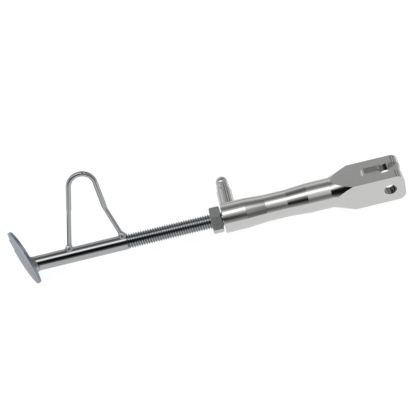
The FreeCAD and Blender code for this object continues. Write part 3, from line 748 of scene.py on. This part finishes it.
class SIDESTAND_OT_foot(bpy.types.Operator):
    """Round foot plate with a notched rim, and the weld that holds it to the leg"""

    bl_idname = "side_stand.foot"
    bl_label = "Foot"

    def execute(self, context):
        sizes = context.scene.side_stand_sizes
        colours = context.scene.side_stand_colours
        across, back, up, centre = foot_frame()
        piece = draw("foot_plate_brushed", self.outline(sizes), closed=True)
        modify(piece, "SOLIDIFY", thickness=sizes.foot_thickness, offset=1)
        tidy(piece)
        bottom = min(vertex.co.z for vertex in piece.data.vertices)
        piece.data.transform(Matrix.Translation((0, 0, -bottom)))
        place(piece, columns(across, back, up, centre))
        soften(piece, 0.35 * MM, 2)
        weld = foot_weld_centre(sizes)
        steel = metal("Foot Steel", colours.foot, 0.30, 0.48, stretch=(1, 0.12, 1),
                      fineness=2600, bump=0.25, contrast=0.16,
                      heat=[(weld, 9 * MM, 20 * MM, 0.55)])
        finish(piece, "leg", "foot_steel", steel, "foot_plate")

        outer, height, inner = sizes.foot_bead, sizes.foot_bead_height, sizes.shank / 2
        shares = [(1.0, 0.0), (0.97, 0.2), (0.8, 0.42), (0.55, 0.58), (0.3, 0.78), (0.05, 1.0)]
        outline = [(height * up_share, inner + (outer - inner) * share)
                   for share, up_share in shares]
        outline += [(height * 0.9, inner - 0.4 * MM), (0, inner - 0.4 * MM),
                    (0, inner + (outer - inner))]
        bead = lathe("foot_weld_bead", outline, "Z", steps=72)
        roughen(bead, 0.22 * MM, 4)
        along = Vector((1, 0, 0)) / up.x
        place(bead, columns(across, back, along, weld))
        hottest = weld + Vector((0, 0, sizes.foot_bead))
        tinted = metal("Weld Bead", colours.chrome, 0.14, 0.3, bump=0.3, pits=0.8,
                       contrast=0.3, heat=[(hottest, 6 * MM, 14 * MM, 0.85)])
        finish(bead, "leg", "weld_bead", tinted, "foot_weld", angle=60)
        return {"FINISHED"}

    def outline(self, sizes):
        """The rim, with two saw-tooth notches."""
        radius, depth = sizes.foot / 2, sizes.notch_depth
        first, second, run = math.radians(95.7), math.radians(68.2), math.radians(27.5)
        rim_steps = 90

        def at(distance, angle):
            return (distance * math.cos(angle), distance * math.sin(angle), 0)

        points = [at(radius - depth, second), at(radius, first), at(radius - depth, first)]
        begin, rest = first + run, math.tau - (first + run - second)
        points += [at(radius, begin + rest * step / rim_steps) for step in range(rim_steps + 1)]
        return points


class SIDESTAND_OT_kick_loop(bpy.types.Operator):
    """Bent wire loop, the sleeve over its top and the weld beads at its bases"""

    bl_idname = "side_stand.kick_loop"
    bl_label = "Kick Loop"

    def execute(self, context):
        sizes = context.scene.side_stand_sizes
        colours = context.scene.side_stand_colours
        line = loop_line(sizes)
        bases = [loop_point(sizes, -sizes.loop_lower, 0), loop_point(sizes, -sizes.loop_upper, 0)]
        wire = tube("kick_loop_wire", sizes, line, sizes.wire)
        heat = [(base, 8 * MM, 16 * MM, 0.45) for base in bases]
        plated = metal("Loop Wire", colours.chrome, 0.05, 0.14, bump=0.03, heat=heat)
        finish(wire, "leg", "loop_wire", plated, "kick_loop", angle=60)

        sleeve = tube("loop_sleeve_tube", sizes, self.sleeve_line(sizes, line), sizes.sleeve)
        soften(sleeve, 0.25 * MM)
        bright = metal("Sleeve Tube", colours.chrome, 0.05, 0.12, bump=0.02, contrast=0.04)
        finish(sleeve, "leg", "sleeve_tube", bright, "loop_sleeve")

        slants = (sizes.loop_lower_angle, -sizes.loop_root_angle)
        names = ("loop_weld_lower", "loop_weld_upper")
        for number, (base, slant, node) in enumerate(zip(bases, slants, names)):
            self.weld(sizes, colours, base, slant, node, number)
        return {"FINISHED"}

    def sleeve_line(self, sizes, line):
        """The part of the loop's line between the sleeve's two ends."""
        top = max(range(len(line)), key=lambda index: line[index].y)
        rising, falling = line[:top], line[top:]
        kept = []
        for before, after in zip(rising, rising[1:]):
            if before.y < sizes.sleeve_lower <= after.y:
                kept.append(before.lerp(after, (sizes.sleeve_lower - before.y)
                                        / (after.y - before.y)))
            if after.y > sizes.sleeve_lower:
                kept.append(after)
        for before, after in zip(falling, falling[1:]):
            if before.y > sizes.sleeve_upper:
                kept.append(before)
            if before.y > sizes.sleeve_upper >= after.y:
                kept.append(before.lerp(after, (sizes.sleeve_upper - before.y)
                                        / (after.y - before.y)))
        return kept

    def weld(self, sizes, colours, base, slant, node, seed):
        outer, inner, height = sizes.loop_bead, sizes.wire / 2, sizes.loop_bead_height
        shank = sizes.shank / 2
        foot = math.sqrt(shank ** 2 - outer ** 2)
        shares = [(1.0, 0.0), (0.92, 0.2), (0.62, 0.42), (0.36, 0.62), (0.15, 0.82), (0.0, 1.0)]
        rise = shank - foot + height
        outline = [(foot, 0)]
        outline += [(foot + rise * up_share, inner + 0.3 * MM + (outer - inner - 0.3 * MM) * share)
                    for share, up_share in shares]
        outline += [(foot + rise, 0)]
        bead = lathe(node + "_bead", outline, "Z", steps=48)
        roughen(bead, 0.18 * MM, seed)
        lean = Matrix.Rotation(-sizes.loop_lean, 4, "X")
        place(bead, Matrix.Translation(base) @ lean @ Matrix.Rotation(slant, 4, "Y"))
        tinted = metal(node.replace("_", " ").title(), colours.plating, 0.18, 0.34,
                       bump=0.15, pits=0.4, contrast=0.12, heat=[(base, 5 * MM, 12 * MM, 0.35)])
        finish(bead, "leg", "weld_bead", tinted, node, angle=60)


class SIDESTAND_OT_stage(bpy.types.Operator):
    """Pale floor, soft studio light and the camera"""

    bl_idname = "side_stand.stage"
    bl_label = "Stage"

    def execute(self, context):
        self.floor(context)
        self.surroundings(context)
        self.lamp(context)
        self.camera(context)
        return {"FINISHED"}

    def floor(self, context):
        only()
        level = FRAME_BOX[0].z
        bpy.ops.mesh.primitive_grid_add(x_subdivisions=4, y_subdivisions=4, size=2.4,
                                        location=(-0.15, 0.03, level))
        floor = context.object
        floor.name = "floor"
        material = bpy.data.materials.new("Studio Floor")
        material.use_nodes = True
        shader = material.node_tree.nodes["Principled BSDF"]
        colours = context.scene.side_stand_colours
        shader.inputs["Base Color"].default_value = (*colours.floor, 1)
        shader.inputs["Roughness"].default_value = 0.7
        shader.inputs["Specular IOR Level"].default_value = 0.1
        # the table is lit from below as well, so that shadows nearly vanish
        shader.inputs["Emission Color"].default_value = (*colours.floor_light, 1)
        shader.inputs["Emission Strength"].default_value = 0.92
        floor.data.materials.append(material)

    def surroundings(self, context):
        """A studio with bands of brightness round X, in zones along X."""
        world = bpy.data.worlds.new("Studio")
        context.scene.world = world
        world.use_nodes = True
        nodes, link = world.node_tree.nodes, world.node_tree.links.new
        direction = nodes.new("ShaderNodeTexCoord")
        parts = nodes.new("ShaderNodeSeparateXYZ")
        link(direction.outputs["Generated"], parts.inputs["Vector"])
        angle = nodes.new("ShaderNodeMath")
        angle.operation = "ARCTAN2"
        link(parts.outputs["Z"], angle.inputs[0])
        link(parts.outputs["Y"], angle.inputs[1])
        share = nodes.new("ShaderNodeMapRange")
        share.inputs["From Min"].default_value = -math.pi
        share.inputs["From Max"].default_value = math.pi
        link(angle.outputs[0], share.inputs["Value"])
        # degrees from the far horizon, over the top, to the near one, and the brightness there
        below = [(-180, 0.28), (-177, 0.26), (-175.5, 0.04), (-160, 0.04), (-150, 0.3)]
        rear = [(0, 0.22), (8, 0.24), (18, 0.34), (29, 0.46), (38, 0.36), (47, 0.21), (61, 0.11),
                (68, 0.13), (76, 0.21), (86, 0.40), (93, 0.95), (105, 0.95), (112, 0.52)]
        shank_rear = [(0, 0.22), (8, 0.24), (18, 0.34), (29, 0.42), (38, 0.28), (47, 0.13),
                      (61, 0.06), (68, 0.075), (76, 0.12), (86, 0.32), (94, 1.0), (106, 1.0),
                      (112, 0.50)]
        shank_near = [(116, 0.12), (121, 0.02), (134, 0.002), (148, 0.002), (160, 0.03),
                      (171, 0.12), (180, 0.28)]
        black_near = [(118, 0.20), (124, 0.02), (134, 0.004), (150, 0.004), (160, 0.03),
                      (171, 0.12), (180, 0.28)]
        dark_near = [(123, 0.24), (133, 0.08), (140, 0.015), (150, 0.015), (158, 0.09),
                     (170, 0.20), (180, 0.28)]
        bright_near = [(123, 0.40), (138, 0.35), (146, 0.16), (158, 0.11), (168, 0.15),
                       (176, 0.25), (180, 0.28)]
        black, dark, bright, shank = [
            self.shade(nodes, link, share, below + behind + near)
            for behind, near in ((rear, black_near), (rear, dark_near), (rear, bright_near),
                                 (shank_rear, shank_near))]
        left = self.panel(nodes, (0.34, 0.35, 0.36, 1))
        right = self.panel(nodes, (0.05, 0.05, 0.05, 1))
        far_right = self.panel(nodes, (0.26, 0.26, 0.26, 1))
        # from the foot's end to the fork's: where each zone starts to come in, where it is full
        zones = [(-0.78, -0.66, black), (-0.36, -0.31, dark), (-0.100, -0.090, shank),
                 (-0.040, -0.005, dark), (0.018, 0.045, bright), (0.14, 0.20, right),
                 (0.28, 0.33, bright), (0.44, 0.50, right), (0.54, 0.60, far_right)]
        mix = left
        for start, stop, zone in zones:
            mix = self.blend(nodes, link, parts.outputs["X"], start, stop, mix, zone)
        background = nodes["Background"]
        background.inputs["Strength"].default_value = 2.2
        link(mix, background.inputs["Color"])

    def shade(self, nodes, link, share, bands):
        ramp = nodes.new("ShaderNodeValToRGB")
        link(share.outputs["Result"], ramp.inputs["Fac"])
        elements = ramp.color_ramp.elements
        for element, (degrees, brightness) in zip(elements, (bands[0], bands[-1])):
            element.position = (degrees + 180) / 360
            element.color = (brightness,) * 3 + (1,)
        for degrees, brightness in bands[1:-1]:
            elements.new((degrees + 180) / 360).color = (brightness,) * 3 + (1,)
        return ramp.outputs["Color"]

    def panel(self, nodes, value):
        colour_node = nodes.new("ShaderNodeRGB")
        colour_node.outputs[0].default_value = value
        return colour_node.outputs[0]

    def blend(self, nodes, link, across, start, stop, before, after):
        """One colour up to a direction, another beyond it."""
        step = nodes.new("ShaderNodeMapRange")
        step.inputs["From Min"].default_value = start
        step.inputs["From Max"].default_value = stop
        link(across, step.inputs["Value"])
        mix = nodes.new("ShaderNodeMix")
        mix.data_type = "RGBA"
        link(step.outputs["Result"], mix.inputs["Factor"])
        link(before, mix.inputs["A"])
        link(after, mix.inputs["B"])
        return mix.outputs["Result"]

    def lamp(self, context):
        """A large overhead softbox that lights the floor without a hard shadow."""
        only()
        bpy.ops.object.light_add(type="AREA", location=(-0.15, -0.2, 1.2))
        lamp = context.object
        lamp.name = "overhead_softbox"
        lamp.data.shape = "SQUARE"
        lamp.data.size = 1.6
        lamp.data.energy = 2.2
        lamp.visible_glossy = False
        lamp.rotation_euler = (Vector((-0.15, 0, 0)) - lamp.location).to_track_quat(
            "-Z", "Y").to_euler()

    def camera(self, context):
        only()
        bpy.ops.object.camera_add()
        camera = context.object
        camera.name = "camera"
        camera.data.lens = 180.0
        camera.data.sensor_width = 36.0
        camera.data.clip_end = 10.0
        target = Vector((-144.1, 7.7, 7.7)) * MM
        towards = Vector((0, -1, 1)).normalized()
        above = Vector((0, 1, 1)).normalized()
        roll = math.radians(13.6)
        right = Vector((1, 0, 0)) * math.cos(roll) - above * math.sin(roll)
        up = Vector((1, 0, 0)) * math.sin(roll) + above * math.cos(roll)
        field = 331.5 * MM
        distance = field / 2 / (camera.data.sensor_width / 2 / camera.data.lens)
        camera.matrix_world = columns(right, up, towards, target + towards * distance)
        context.scene.camera = camera
        context.scene.view_settings.view_transform = "Standard"


STEPS = (SIDESTAND_OT_clevis_body, SIDESTAND_OT_spring_post, SIDESTAND_OT_jam_nut,
         SIDESTAND_OT_leg_rod, SIDESTAND_OT_foot, SIDESTAND_OT_kick_loop, SIDESTAND_OT_stage)


class SIDESTAND_PT_panel(bpy.types.Panel):
    """Buttons that build the stand piece by piece"""

    bl_idname = "SIDESTAND_PT_panel"
    bl_label = "Side Stand"
    bl_space_type = "VIEW_3D"
    bl_region_type = "UI"
    bl_category = "Side Stand"

    def draw(self, context):
        for step in STEPS:
            self.layout.operator(step.bl_idname)
        for group in (context.scene.side_stand_sizes, context.scene.side_stand_colours):
            box = self.layout.box()
            for name in group.__annotations__:
                box.prop(group, name)


CLASSES = (SideStandSizes, SideStandColours, *STEPS, SIDESTAND_PT_panel)


def register():
    for item in CLASSES:
        bpy.utils.register_class(item)
    bpy.types.Scene.side_stand_sizes = PointerProperty(type=SideStandSizes)
    bpy.types.Scene.side_stand_colours = PointerProperty(type=SideStandColours)


def unregister():
    del bpy.types.Scene.side_stand_colours
    del bpy.types.Scene.side_stand_sizes
    for item in reversed(CLASSES):
        bpy.utils.unregister_class(item)


def main():
    register()
    for step in STEPS:
        family, name = step.bl_idname.split(".")
        getattr(getattr(bpy.ops, family), name)()


if __name__ == "__main__":
    main()
